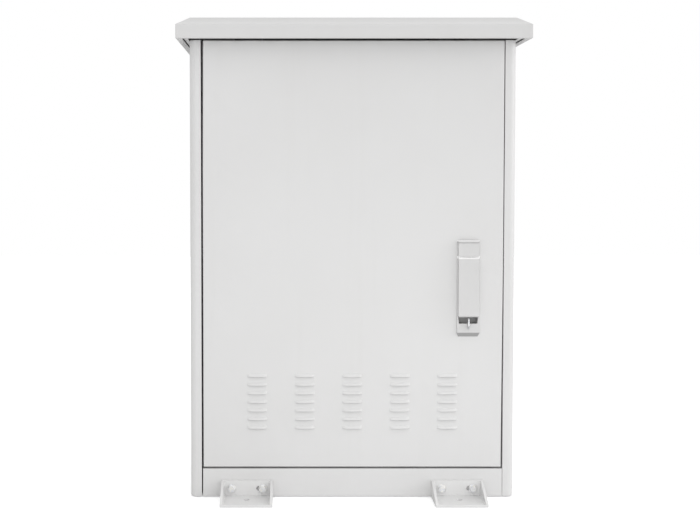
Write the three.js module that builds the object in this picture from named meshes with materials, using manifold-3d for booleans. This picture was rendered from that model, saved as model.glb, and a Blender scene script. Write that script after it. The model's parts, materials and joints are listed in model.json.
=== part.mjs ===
// Outdoor floor-standing battery cabinet with a canopy roof, a louvred door and a swing handle.
// Millimetres. +X to the right, +Y into the cabinet, +Z up. The front faces -Y.
// The origin is under the middle of the cabinet, on the surface that it stands on.
import * as THREE from 'three';
import { mergeVertices } from 'three/addons/utils/BufferGeometryUtils.js';
import Module from 'manifold-3d';

const wasm = await Module();
wasm.setup();

// ---- driving dimensions -------------------------------------------------------------------
const GAP = 0.3; // between parts that touch
const SHEET = 1.5; // door, panels and roof
const FRAME_SHEET = 2; // posts and door frame

const BODY_W = 650;
const BODY_D = 270;
const BODY_FRONT = -BODY_D / 2;
const BODY_BACK = BODY_D / 2;
const POST_BOTTOM = 1.5;
const POST_TOP = 915.5;
const POST_FACE = 22.5; // width of a post seen from the front
const POST_SIDE = 40; // depth of a post seen from the side
const POST_RADIUS = 13;
const POST_JAMB = 34; // depth of the post's leg beside the door

const DOOR_GAP = 3.5;
const DOOR_X = BODY_W / 2 - POST_FACE - DOOR_GAP;
const DOOR_BOTTOM = 61;
const DOOR_TOP = 912.5;
const DOOR_DEPTH = 25;
const DOOR_LIP = 12; // return lip at the back of the door's flange
const DOOR_BACK = BODY_FRONT + SHEET; // inner face of the door's skin

const PLINTH_TOP = 57.5;

const LOUVRE_COLUMNS = 5;
const LOUVRE_ROWS = 7;
const LOUVRE_PITCH_X = 95.3;
const LOUVRE_PITCH_Z = 17.4;
const LOUVRE_TOP_Z = 246.5;
const LOUVRE_W = 40;
const LOUVRE_H = 6.5;
const LOUVRE_OUT = 3.6;

const HINGE_X = -DOOR_X + 15;
const HINGE_Y = BODY_FRONT + 10;
const HINGE_ZS = { upper: 790, lower: 180 };
const HINGE_H = 60;
const HINGE_PIN_R = 2.5;
const HINGE_KNUCKLE_R = 5.5;

const FRAME_Y = BODY_FRONT + 35; // front face of the door frame
const FRAME_LIP_FRONT = BODY_FRONT + 11;
const OPEN_LEFT = -258;
const OPEN_RIGHT = 278;
const OPEN_BOTTOM = 92;
const OPEN_TOP = 882;

const ROOF_X = 349;
const ROOF_FRONT = BODY_FRONT - 35;
const ROOF_BACK = BODY_BACK + 15;
const ROOF_BOTTOM = 915.5;
const ROOF_SKIRT = 27;
const ROOF_RISE = 16;
const ROOF_HIP = 26;
const ROOF_LIP = 12;
const ROOF_TOP = ROOF_BOTTOM + ROOF_SKIRT + ROOF_RISE;

const PANEL_TOP = 914; // upper face of the cabinet's own top panel

const BRACKET_X = 211;
const BRACKET_W = 103;
const BRACKET_H = 34.5;
const BRACKET_DEPTH = 70;
const BRACKET_T = 5;
const ANCHOR_R = 6;
const BOLT_SPACING = 62.5;
const BOLT_Z = 19;
const HOLE_R = 4.6;
const SLOT_RUN = 8.5; // one of a bracket's two holes is a slot this much longer

const HANDLE_X = 231;
const HANDLE_Z = 500; // turning axis of the swing handle
const DISH_W = 45;
const DISH_TOP = 518;
const DISH_BOTTOM = 325;
const DISH_T = 4;
const DISH_RAMP = 8.6; // height of the sloping lower end
const DISH_SWELL = 3; // the land below the finger pocket stands out this much more at its foot
const HEAD_W = 41;
const HEAD_BOTTOM = 486;
const HEAD_OUT = 7; // how far the head stands in front of the dish
const HEAD_CHAMFER = 3.6; // the head has this chamfer on top and a narrow groove below it
const LEVER_OUT = 8;
const LEVER_FACE_BOTTOM = 367.3;
const LEVER_BOTTOM = 365;
const POCKET_TOP = 373; // the finger pocket reaches up behind the lever's end
const POCKET_BOTTOM = 351.2;
const POCKET_HALF_TOP = 20.6;
const POCKET_HALF_BOTTOM = 18.4;
const POCKET_WALL = 1.2;
const POCKET_BACK = BODY_FRONT + 16;
const STAPLE_TOP = 362.6;
const LAND_TOP = POCKET_BOTTOM - POCKET_WALL - 0.8;
const SPINDLE_R = 8;
const LIFT_PIN_R = 1.2;
const LUG_R = 2; // eye of the head's lugs, round the lever's pin
const LIFT_Y = BODY_FRONT - DISH_T - 2.6;
const LIFT_Z = HEAD_BOTTOM - 8;

const CAM_R = 20; // from the turning axis to a cam pin
const CAM_PIN_R = 3;
const CAM_HALF = 6.5;
const CAM_T = 3;
const ROD_W = 14;
const ROD_T = 4;
const ROD_FRONT = BODY_FRONT + 17.5;
const CAM_FRONT = ROD_FRONT - 1.2 - CAM_T;

const SHELF_ZS = { lower: 100, upper: 500 };

const BASE_TOP = PLINTH_TOP + 6;
const PLATE_HALF_X = 110;
const PLATE_HALF_Y = 34;
const PLATE_T = 2;
const GLAND_XS = [-60, 60];
const GLAND_Y = 60;
const GLAND_HOLE_R = 16.5;
const GLAND_BORE_R = 10;

// ---- materials ----------------------------------------------------------------------------
const finish = (color, roughness, metalness) => ({ color, roughness, metalness });
const COAT = finish(0xd4d4d2, 0.5, 0.0);
const COAT_ROOF = finish(0xd0d0ce, 0.5, 0.0);
const ZINC = finish(0xb9bcc0, 0.35, 0.9);
const HANDLE = finish(0xcfcfcd, 0.42, 0.0);
const RUBBER = finish(0x1c1c1e, 0.85, 0.0);
const FOAM = finish(0x4a4c4e, 0.95, 0.0);
const COPPER = finish(0xb87345, 0.35, 1.0);
const PLASTIC = finish(0x2b2c2e, 0.6, 0.0);

// ---- solids and booleans ------------------------------------------------------------------
function solid(geometry) {
  const bare = geometry.index ? geometry.toNonIndexed() : geometry.clone();
  for (const name of Object.keys(bare.attributes)) {
    if (name !== 'position') bare.deleteAttribute(name);
  }
  const welded = mergeVertices(bare, 1e-4);
  return new wasm.Manifold(new wasm.Mesh({
    numProp: 3,
    vertProperties: new Float32Array(welded.attributes.position.array),
    triVerts: new Uint32Array(welded.index.array),
  }));
}

function toGeometry(manifold) {
  const mesh = manifold.getMesh();
  const geometry = new THREE.BufferGeometry();
  geometry.setAttribute('position', new THREE.BufferAttribute(mesh.vertProperties, 3));
  geometry.setIndex(new THREE.BufferAttribute(mesh.triVerts, 1));
  geometry.computeVertexNormals();
  return geometry;
}

const union = (first, ...rest) => rest.reduce((whole, piece) => whole.add(piece), first);
const cut = (first, ...rest) => rest.reduce((whole, piece) => whole.subtract(piece), first);

// A box from its lowest and highest coordinates.
function box(x0, x1, y0, y1, z0, z1) {
  const geometry = new THREE.BoxGeometry(x1 - x0, y1 - y0, z1 - z0);
  geometry.translate((x0 + x1) / 2, (y0 + y1) / 2, (z0 + z1) / 2);
  return solid(geometry);
}

// A cylinder along 'x', 'y' or 'z', between two coordinates on that axis.
function rod(axis, radius, a, b, start, end, sides = 24) {
  const geometry = new THREE.CylinderGeometry(radius, radius, end - start, sides);
  const middle = (start + end) / 2;
  if (axis === 'x') geometry.rotateZ(Math.PI / 2).translate(middle, a, b);
  if (axis === 'y') geometry.translate(a, middle, b);
  if (axis === 'z') geometry.rotateX(Math.PI / 2).translate(a, b, middle);
  return solid(geometry);
}

const pairs = (points) => points.map(([u, v]) => new THREE.Vector2(u, v));

// An outline in x and y, raised from z0 to z1.
function prismZ(shape, z0, z1, curveSegments = 8) {
  const outline = shape instanceof THREE.Shape ? shape : new THREE.Shape(pairs(shape));
  const geometry = new THREE.ExtrudeGeometry(outline, { depth: z1 - z0, bevelEnabled: false, curveSegments });
  geometry.translate(0, 0, z0);
  return solid(geometry);
}

// An outline in y and z, carried from x0 to x1.
function prismX(points, x0, x1) {
  const outline = new THREE.Shape(pairs(points));
  const geometry = new THREE.ExtrudeGeometry(outline, { depth: x1 - x0, bevelEnabled: false });
  geometry.applyMatrix4(new THREE.Matrix4().set(0, 0, 1, x0, 1, 0, 0, 0, 0, 1, 0, 0, 0, 0, 0, 1));
  return solid(geometry);
}

// An outline in x and z, carried from y0 to y1.
function prismY(shape, y0, y1, curveSegments = 8) {
  const outline = shape instanceof THREE.Shape ? shape : new THREE.Shape(pairs(shape));
  const geometry = new THREE.ExtrudeGeometry(outline, { depth: y1 - y0, bevelEnabled: false, curveSegments });
  geometry.applyMatrix4(new THREE.Matrix4().set(1, 0, 0, 0, 0, 0, -1, y1, 0, 1, 0, 0, 0, 0, 0, 1));
  return solid(geometry);
}

// A rectangle with round corners, as a Shape in the plane of the outline.
function roundedRectangle(u0, u1, v0, v1, radius) {
  const shape = new THREE.Shape();
  shape.moveTo(u0 + radius, v0);
  shape.lineTo(u1 - radius, v0);
  shape.absarc(u1 - radius, v0 + radius, radius, -Math.PI / 2, 0);
  shape.lineTo(u1, v1 - radius);
  shape.absarc(u1 - radius, v1 - radius, radius, 0, Math.PI / 2);
  shape.lineTo(u0 + radius, v1);
  shape.absarc(u0 + radius, v1 - radius, radius, Math.PI / 2, Math.PI);
  shape.lineTo(u0, v0 + radius);
  shape.absarc(u0 + radius, v0 + radius, radius, Math.PI, Math.PI * 1.5);
  return shape;
}

// A stack of level rectangles [x0, x1, y0, y1, z] joined by flat or sloping sides.
function loft(rings) {
  const positions = [];
  const corners = ([x0, x1, y0, y1, z]) => [[x0, y0, z], [x1, y0, z], [x1, y1, z], [x0, y1, z]];
  const quad = (a, b, c, d) => positions.push(...a, ...b, ...c, ...a, ...c, ...d);
  for (let level = 0; level + 1 < rings.length; level += 1) {
    const low = corners(rings[level]);
    const high = corners(rings[level + 1]);
    for (let side = 0; side < 4; side += 1) {
      const next = (side + 1) % 4;
      quad(low[side], low[next], high[next], high[side]);
    }
  }
  const bottom = corners(rings[0]);
  const top = corners(rings.at(-1));
  quad(bottom[3], bottom[2], bottom[1], bottom[0]);
  quad(top[0], top[1], top[2], top[3]);
  const geometry = new THREE.BufferGeometry();
  geometry.setAttribute('position', new THREE.Float32BufferAttribute(positions, 3));
  return solid(geometry);
}

const cabinet = new THREE.Group();

function add(name, manifold, look) {
  const mesh = new THREE.Mesh(toGeometry(manifold), new THREE.MeshStandardMaterial(look));
  mesh.name = name;
  cabinet.add(mesh);
}

const SIDES = { left: -1, right: 1 };

// Turns a solid made for the right-hand side into its mirror image on the left.
const onSide = (manifold, sign) => (sign > 0 ? manifold : manifold.mirror([1, 0, 0]));

// ---- corner posts -------------------------------------------------------------------------
// A post is folded from sheet: a face with a round corner, a side, and a leg into the cabinet.
function postOutline() {
  const outer = BODY_W / 2;
  const inner = outer - POST_FACE;
  const t = FRAME_SHEET;
  const r = POST_RADIUS;
  const shape = new THREE.Shape();
  shape.moveTo(inner, BODY_FRONT);
  shape.lineTo(outer - r, BODY_FRONT);
  shape.absarc(outer - r, BODY_FRONT + r, r, -Math.PI / 2, 0);
  shape.lineTo(outer, BODY_FRONT + POST_SIDE);
  shape.lineTo(outer - t, BODY_FRONT + POST_SIDE);
  shape.lineTo(outer - t, BODY_FRONT + r);
  shape.absarc(outer - r, BODY_FRONT + r, r - t, 0, -Math.PI / 2, true);
  shape.lineTo(inner + t, BODY_FRONT + t);
  shape.lineTo(inner + t, BODY_FRONT + POST_JAMB);
  shape.lineTo(inner, BODY_FRONT + POST_JAMB);
  shape.closePath();
  return shape;
}

function addPosts() {
  const front = prismZ(postOutline(), POST_BOTTOM, POST_TOP, 6);
  for (const [side, sign] of Object.entries(SIDES)) {
    add(`post_front_${side}`, onSide(front, sign), COAT);
    add(`post_rear_${side}`, onSide(front.mirror([0, 1, 0]), sign), COAT);
  }
}

// ---- side, rear, top, base and plinth panels ----------------------------------------------
// A tray: a flat sheet with its four edges folded back by the given depth.
function trayX(x0, x1, y0, y1, z0, z1) {
  const t = SHEET;
  const inward = x0 > 0 ? [x0 - t, x1 - t] : [x0 + t, x1 + t];
  return cut(box(x0, x1, y0, y1, z0, z1), box(...inward, y0 + t, y1 - t, z0 + t, z1 - t));
}

function addPanels() {
  const fold = 12;
  const sideFront = BODY_FRONT + POST_SIDE + 0.6;
  const x = BODY_W / 2;
  for (const [side, sign] of Object.entries(SIDES)) {
    const panel = trayX(x - fold, x, sideFront, -sideFront, POST_BOTTOM, PANEL_TOP - SHEET - GAP);
    add(`side_panel_${side}`, onSide(panel, sign), COAT);
  }

  const rearX = x - POST_FACE - 0.6;
  const rear = cut(
    box(-rearX, rearX, BODY_BACK - fold, BODY_BACK, POST_BOTTOM, PANEL_TOP - SHEET - GAP),
    box(-rearX + SHEET, rearX - SHEET, BODY_BACK - fold - 1, BODY_BACK - SHEET,
      POST_BOTTOM + SHEET, PANEL_TOP - SHEET * 2 - GAP),
  );
  add('rear_panel', rear, COAT);

  // A deck fills the cabinet's plan between the door frame, the posts and the panels.
  const deck = (z0, z1) => union(
    box(-rearX, rearX, FRAME_Y + FRAME_SHEET + GAP, BODY_BACK - fold - GAP, z0, z1),
    box(-x + fold + GAP, x - fold - GAP, sideFront, -sideFront, z0, z1),
  );

  // The top panel has two rows of outlet slots under the canopy.
  let top = deck(PANEL_TOP - SHEET, PANEL_TOP);
  for (let i = -4; i <= 4; i += 1) {
    for (const y of [-30, 30]) {
      top = cut(top, box(i * 52 - 19, i * 52 + 19, y - 5, y + 5, PANEL_TOP - 3, PANEL_TOP + 1));
    }
  }
  add('top_panel', top, COAT);

  // The base has a window at the back, closed by a plate that carries the two cable glands.
  const windowX = PLATE_HALF_X - 10;
  const windowY = PLATE_HALF_Y - 10;
  const base = cut(deck(BASE_TOP - 3, BASE_TOP),
    box(-windowX, windowX, GLAND_Y - windowY, GLAND_Y + windowY, BASE_TOP - 9, BASE_TOP + 9));
  add('base_panel', base, ZINC);
  const plateZ = BASE_TOP + GAP;
  const plateFront = GLAND_Y - PLATE_HALF_Y;
  const plateBack = GLAND_Y + PLATE_HALF_Y;
  const plate = cut(
    box(-PLATE_HALF_X, PLATE_HALF_X, plateFront, plateBack, plateZ, plateZ + PLATE_T),
    ...GLAND_XS.map((entryX) => rod('z', GLAND_HOLE_R, entryX, GLAND_Y, plateZ - 9, plateZ + 9, 16)),
  );
  add('gland_plate', plate, ZINC);

  const plinthX = x - POST_FACE - 0.6;
  const plinth = cut(
    box(-plinthX, plinthX, BODY_FRONT, BODY_FRONT + 18, POST_BOTTOM, PLINTH_TOP),
    box(-plinthX + SHEET, plinthX - SHEET, BODY_FRONT + SHEET, BODY_FRONT + 30,
      POST_BOTTOM + SHEET, PLINTH_TOP - SHEET),
  );
  add('plinth_panel', plinth, COAT);
}

// ---- door frame ---------------------------------------------------------------------------
// A flat ring behind the door, with a gutter lip round the opening that meets the gasket.
function addDoorFrame() {
  const t = FRAME_SHEET;
  const x = BODY_W / 2 - POST_FACE - 0.6;
  const ring = cut(
    box(-x, x, FRAME_Y, FRAME_Y + t, DOOR_BOTTOM - 2, DOOR_TOP),
    box(OPEN_LEFT, OPEN_RIGHT, FRAME_Y - 1, FRAME_Y + t + 1, OPEN_BOTTOM, OPEN_TOP),
  );
  const lip = cut(
    box(OPEN_LEFT - t, OPEN_RIGHT + t, FRAME_LIP_FRONT, FRAME_Y + t, OPEN_BOTTOM - t, OPEN_TOP + t),
    box(OPEN_LEFT, OPEN_RIGHT, FRAME_LIP_FRONT - 1, FRAME_Y + t + 1, OPEN_BOTTOM, OPEN_TOP),
  );
  add('door_frame', union(ring, lip), COAT);
}

// ---- canopy roof --------------------------------------------------------------------------
function canopyRings(inset) {
  const x = ROOF_X - inset;
  const front = ROOF_FRONT + inset;
  const back = ROOF_BACK - inset;
  return [
    [-x, x, front, back, ROOF_BOTTOM],
    [-x, x, front, back, ROOF_BOTTOM + ROOF_SKIRT - inset * 0.3],
    [-x + ROOF_HIP, x - ROOF_HIP, front + ROOF_HIP, back - ROOF_HIP, ROOF_TOP - inset],
  ];
}

function addRoof() {
  const lip = cut(
    box(-ROOF_X, ROOF_X, ROOF_FRONT, ROOF_BACK, ROOF_BOTTOM, ROOF_BOTTOM + SHEET),
    box(-ROOF_X + ROOF_LIP, ROOF_X - ROOF_LIP, ROOF_FRONT + ROOF_LIP, ROOF_BACK - ROOF_LIP,
      ROOF_BOTTOM - 1, ROOF_BOTTOM + SHEET + 1),
  );
  const shell = cut(loft(canopyRings(0)), loft(canopyRings(SHEET)));
  add('roof_canopy', union(shell, lip), COAT_ROOF);

  // The soffit closes the overhang but for a slit on both sides and slots front and back.
  const outerX = ROOF_X - ROOF_LIP - 1.5;
  const outerFront = ROOF_FRONT + ROOF_LIP + 1.5;
  const outerBack = ROOF_BACK - ROOF_LIP - 1.2;
  const innerX = BODY_W / 2 + 3;
  const soffitZ = ROOF_BOTTOM + 3;
  let soffit = cut(
    box(-outerX, outerX, outerFront, outerBack, soffitZ, soffitZ + SHEET),
    box(-innerX, innerX, BODY_FRONT - 3, BODY_BACK - 20, soffitZ - 1, soffitZ + 4),
  );
  const upstand = cut(
    box(-outerX, outerX, outerFront, outerBack, soffitZ, soffitZ + 11),
    box(-outerX + SHEET, outerX - SHEET, outerFront + SHEET, outerBack - SHEET,
      soffitZ - 1, soffitZ + 12),
  );
  soffit = union(soffit, upstand);
  for (let i = -5; i <= 5; i += 1) {
    const x = i * 56;
    soffit = cut(soffit, box(x - 20, x + 20, BODY_FRONT - 13, BODY_FRONT - 8, soffitZ - 1, soffitZ + 4));
  }
  add('roof_soffit', soffit, COAT_ROOF);

  // Two channels hold the canopy above the top panel and leave an air gap.
  const railTop = ROOF_TOP - SHEET - GAP;
  for (const [side, sign] of Object.entries(SIDES)) {
    const x = 210;
    const web = 30;
    const rail = cut(
      box(x - web, x + web, FRAME_Y + 12, BODY_BACK - 40, PANEL_TOP + GAP, railTop),
      box(x - web + 2, x + web - 2, FRAME_Y, BODY_BACK, PANEL_TOP + GAP - 1, railTop - 2),
    );
    add(`roof_rail_${side}`, onSide(rail, sign), ZINC);
  }
}

// ---- floor brackets -----------------------------------------------------------------------
function bracketSolid() {
  const half = BRACKET_W / 2;
  const front = -BRACKET_DEPTH;
  const t = BRACKET_T;
  const foot = box(-half, half, front, 0, 0, t);
  const leg = box(-half, half, -t, 0, 0, BRACKET_H);
  const cheek = [[0, 0], [front, 0], [front, t + 1], [-t - 4, BRACKET_H], [0, BRACKET_H]];
  const cheeks = [-half, half - t].map((x) => prismX(cheek, x, x + t));
  const holeX = BOLT_SPACING / 2;
  const holes = [-holeX, holeX, holeX - SLOT_RUN].map((x) => rod('y', HOLE_R, x, BOLT_Z, -t - 1, 1, 16));
  const slot = box(holeX - SLOT_RUN, holeX, -t - 1, 1, BOLT_Z - HOLE_R, BOLT_Z + HOLE_R);
  const anchor = rod('z', ANCHOR_R, 0, front / 2, -1, t + 1, 20);
  return cut(union(foot, leg, ...cheeks), ...holes, slot, anchor);
}

// A hexagon head bolt with its washer; its shank passes through the bracket and the panel.
function bracketBolt() {
  const head = rod('y', 7.5, 0, BOLT_Z, -BRACKET_T - GAP - 7.8, -BRACKET_T - GAP - 1.6, 6);
  const washer = rod('y', 8.5, 0, BOLT_Z, -BRACKET_T - GAP - 1.6, -BRACKET_T - GAP, 20);
  const shank = rod('y', 4, 0, BOLT_Z, -BRACKET_T - GAP - 2, -GAP, 12);
  return union(head, washer, shank);
}

function addBrackets() {
  const bracket = bracketSolid();
  const bolt = bracketBolt();
  const faces = { front: { y: BODY_FRONT - GAP, turn: 0 }, rear: { y: BODY_BACK + GAP, turn: 180 } };
  for (const [face, { y, turn }] of Object.entries(faces)) {
    for (const [side, sign] of Object.entries(SIDES)) {
      const place = (piece, x) => piece.rotate([0, 0, turn]).translate([x, y, 0]);
      add(`floor_bracket_${face}_${side}`, place(bracket, sign * BRACKET_X), ZINC);
      for (const end of [-1, 1]) {
        const which = end < 0 ? 'a' : 'b';
        const x = sign * BRACKET_X + end * BOLT_SPACING / 2;
        const placed = bolt.rotate([0, 0, turn]).translate([x, y, 0]);
        add(`bracket_bolt_${face}_${side}_${which}`, placed, ZINC);
      }
    }
  }
}

// ---- door ---------------------------------------------------------------------------------
// One louvre: a hood pressed out of the sheet, open at its lower edge.
function louvreHood(x, z) {
  const back = BODY_FRONT + GAP;
  const out = BODY_FRONT - LOUVRE_OUT;
  const top = z + LOUVRE_H / 2;
  const low = z - LOUVRE_H / 2;
  const outer = [[back, low], [out, low], [out, low + 1.5], [BODY_FRONT, top], [back, top]];
  return prismX(outer, x - LOUVRE_W / 2, x + LOUVRE_W / 2);
}

function louvreVoid(x, z) {
  const t = 1.1;
  const out = BODY_FRONT - LOUVRE_OUT + t;
  const top = z + LOUVRE_H / 2 - t * 1.4;
  const low = z - LOUVRE_H / 2;
  const inner = [[DOOR_BACK + 1, low], [BODY_FRONT - 0.01, low], [BODY_FRONT - 0.01, low - 1], [out, low - 1],
    [out, low + 1.8], [BODY_FRONT, top], [DOOR_BACK + 1, top]];
  return prismX(inner, x - LOUVRE_W / 2 + t, x + LOUVRE_W / 2 - t);
}

function addDoorPanel() {
  const t = SHEET;
  const back = BODY_FRONT + DOOR_DEPTH;
  const outside = roundedRectangle(-DOOR_X, DOOR_X, DOOR_BOTTOM, DOOR_TOP, 2);
  const lipX = DOOR_X - DOOR_LIP;
  let panel = cut(
    prismY(outside, BODY_FRONT, back, 2),
    box(-DOOR_X + t, DOOR_X - t, DOOR_BACK, back - t, DOOR_BOTTOM + t, DOOR_TOP - t),
    box(-lipX, lipX, back - t - 1, back + 1, DOOR_BOTTOM + DOOR_LIP, DOOR_TOP - DOOR_LIP),
  );
  for (const z of Object.values(HINGE_ZS)) {
    const room = HINGE_H / 2 + 8;
    panel = cut(panel, box(-DOOR_X - 1, -lipX + 1, BODY_FRONT + 6, back + 1, z - room, z + room));
  }
  const hoods = [];
  const voids = [];
  for (let column = 0; column < LOUVRE_COLUMNS; column += 1) {
    const x = (column - (LOUVRE_COLUMNS - 1) / 2) * LOUVRE_PITCH_X;
    for (let row = 0; row < LOUVRE_ROWS; row += 1) {
      const z = LOUVRE_TOP_Z - row * LOUVRE_PITCH_Z;
      hoods.push(louvreHood(x, z));
      voids.push(louvreVoid(x, z));
    }
  }
  panel = cut(union(panel, ...hoods), ...voids);
  const spindleHole = rod('y', SPINDLE_R + 1, HANDLE_X, HANDLE_Z, BODY_FRONT - 1, DOOR_BACK + 1);
  const pocketHalf = POCKET_HALF_TOP + POCKET_WALL + 0.7;
  const pocketHole = box(HANDLE_X - pocketHalf, HANDLE_X + pocketHalf, BODY_FRONT - 1, DOOR_BACK + 1,
    POCKET_BOTTOM - POCKET_WALL - 0.7, POCKET_TOP + POCKET_WALL + 0.7);
  add('door_panel', cut(panel, spindleHole, pocketHole), COAT);
}

function addDoorFittings() {
  const gasketFront = DOOR_BACK + GAP;
  const gasketBack = FRAME_LIP_FRONT - GAP;
  const around = (margin, y0, y1) => box(OPEN_LEFT - margin, OPEN_RIGHT + margin, y0, y1,
    OPEN_BOTTOM - margin, OPEN_TOP + margin);
  const gasket = cut(around(7, gasketFront, gasketBack), around(-5, gasketFront - 1, gasketBack + 1));
  add('door_gasket', gasket, RUBBER);

  // The filter mat covers the louvres and is held by a frame with a wide window.
  const filter = { x: 214, bottom: 128, top: 262, back: DOOR_BACK + 9 };
  const mat = box(-filter.x, filter.x - 10, DOOR_BACK + GAP, filter.back, filter.bottom, filter.top);
  add('air_filter', mat, FOAM);
  const edge = 8;
  const outer = box(-filter.x - 4, filter.x - 6, DOOR_BACK + GAP, filter.back + 3,
    filter.bottom - 4, filter.top + 4);
  const hollow = box(-filter.x - GAP, filter.x - 10 + GAP, DOOR_BACK - 1, filter.back + GAP,
    filter.bottom - GAP, filter.top + GAP);
  const window = box(-filter.x + edge, filter.x - 10 - edge, DOOR_BACK, filter.back + 9,
    filter.bottom + edge, filter.top - edge);
  add('filter_frame', cut(outer, hollow, window), ZINC);

  // Two hat sections stiffen the door's skin.
  for (const [name, z] of Object.entries({ lower: 330, upper: 690 })) {
    const y0 = DOOR_BACK + GAP;
    const hat = [[y0, z - 32], [y0 + 1.5, z - 32], [y0 + 1.5, z - 15], [y0 + 11, z - 15], [y0 + 11, z + 15],
      [y0 + 1.5, z + 15], [y0 + 1.5, z + 32], [y0, z + 32], [y0, z + 13.5], [y0 + 9.5, z + 13.5],
      [y0 + 9.5, z - 13.5], [y0, z - 13.5]];
    add(`door_stiffener_${name}`, prismX(hat, -246, 198), ZINC);
  }
}

// ---- hinges -------------------------------------------------------------------------------
// The frame leaf has the lower knuckle, the door leaf the upper one, and one pin joins them.
function addHinges() {
  const bore = HINGE_PIN_R + GAP;
  for (const [name, z] of Object.entries(HINGE_ZS)) {
    const low = z - HINGE_H / 2;
    const high = z + HINGE_H / 2;
    const knuckle = (z0, z1) => rod('z', HINGE_KNUCKLE_R, HINGE_X, HINGE_Y, z0, z1, 20);
    const hole = rod('z', bore, HINGE_X, HINGE_Y, low - 1, high + 1, 16);

    const frameLeaf = cut(union(
      knuckle(low, z - 0.5),
      box(HINGE_X, HINGE_X + 14, HINGE_Y + 1, HINGE_Y + 5, low, z - 0.5),
      box(HINGE_X + 10, HINGE_X + 14, HINGE_Y + 1, FRAME_Y - GAP, low, z - 0.5),
      box(HINGE_X - 4, HINGE_X + 14, FRAME_Y - GAP - 3, FRAME_Y - GAP, low, z - 0.5),
    ), hole);
    add(`hinge_frame_leaf_${name}`, frameLeaf, ZINC);

    const doorLeaf = cut(union(
      knuckle(z + 0.5, high),
      box(HINGE_X - 2, HINGE_X + 2, DOOR_BACK + GAP, HINGE_Y, z + 0.5, high),
      box(HINGE_X - 6, HINGE_X + 14, DOOR_BACK + GAP, DOOR_BACK + GAP + 2.4, z + 0.5, high),
    ), hole);
    add(`hinge_door_leaf_${name}`, doorLeaf, ZINC);

    const pin = union(
      rod('z', HINGE_PIN_R, HINGE_X, HINGE_Y, low - 3, high + 4, 16),
      rod('z', HINGE_PIN_R + 2, HINGE_X, HINGE_Y, high + GAP, high + 4, 16),
    );
    add(`hinge_pin_${name}`, pin, ZINC);
  }
}

// ---- swing handle -------------------------------------------------------------------------
const DISH_FRONT = BODY_FRONT - DISH_T;
const HEAD_HALF = HEAD_W / 2;

// Outline of the finger pocket, wider at the top, grown by a margin on all sides.
function pocketPlan(grow) {
  const low = POCKET_BOTTOM - grow;
  const high = POCKET_TOP + grow;
  return [
    [HANDLE_X - POCKET_HALF_BOTTOM - grow, low], [HANDLE_X + POCKET_HALF_BOTTOM + grow, low],
    [HANDLE_X + POCKET_HALF_TOP + grow, high], [HANDLE_X - POCKET_HALF_TOP - grow, high],
  ];
}

// The dish is a plate on the door, with a finger pocket sunk through the door below the lever's end.
function addDish() {
  const skin = BODY_FRONT - GAP;
  const half = DISH_W / 2;
  const plan = [
    [HANDLE_X - half + 3, DISH_BOTTOM], [HANDLE_X + half - 3, DISH_BOTTOM],
    [HANDLE_X + half, DISH_BOTTOM + DISH_RAMP], [HANDLE_X + half, DISH_TOP],
    [HANDLE_X - half, DISH_TOP], [HANDLE_X - half, DISH_BOTTOM + DISH_RAMP],
  ];
  const side = [
    [skin, DISH_BOTTOM], [DISH_FRONT - DISH_SWELL, DISH_BOTTOM + DISH_RAMP], [DISH_FRONT, LAND_TOP],
    [DISH_FRONT, DISH_TOP - 4], [skin - 0.5, DISH_TOP], [skin, DISH_TOP],
  ];
  const plate = prismY(plan, DISH_FRONT - DISH_SWELL - 1, skin + 1)
    .intersect(prismX(side, HANDLE_X - half - 1, HANDLE_X + half + 1));
  const cup = prismY(pocketPlan(POCKET_WALL), DISH_FRONT + 1, POCKET_BACK);
  const cavity = prismY(pocketPlan(0), DISH_FRONT - 1, POCKET_BACK - POCKET_WALL);
  const hole = rod('y', SPINDLE_R + 1, HANDLE_X, HANDLE_Z, DISH_FRONT - 1, skin + 1);
  add('handle_dish', cut(union(plate, cup), cavity, hole), HANDLE);
}

// The padlock staple stands on the dish and rises in front of the pocket, just outside the paths
// that the lever's end takes as it lifts and swings.
function addStaple() {
  const foot = DISH_FRONT - GAP;
  const low = LAND_TOP - 9;
  const lowY = foot - DISH_SWELL * 9 / (LAND_TOP - DISH_BOTTOM - DISH_RAMP);
  const outline = [
    [lowY, low], [foot, LAND_TOP], [foot - 1.2, LAND_TOP + 2], [foot - 1.2, STAPLE_TOP],
    [foot - 7, STAPLE_TOP], [foot - 9, STAPLE_TOP - 3], [foot - 9, STAPLE_TOP - 15], [lowY - 2.5, low],
  ];
  const eye = rod('x', 2.4, foot - 5.1, STAPLE_TOP - 8, HANDLE_X - 5, HANDLE_X + 5, 16);
  const fin = prismX(outline, HANDLE_X - 1.5, HANDLE_X + 1.5);
  add('padlock_staple', cut(fin, eye), ZINC);
}

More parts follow.
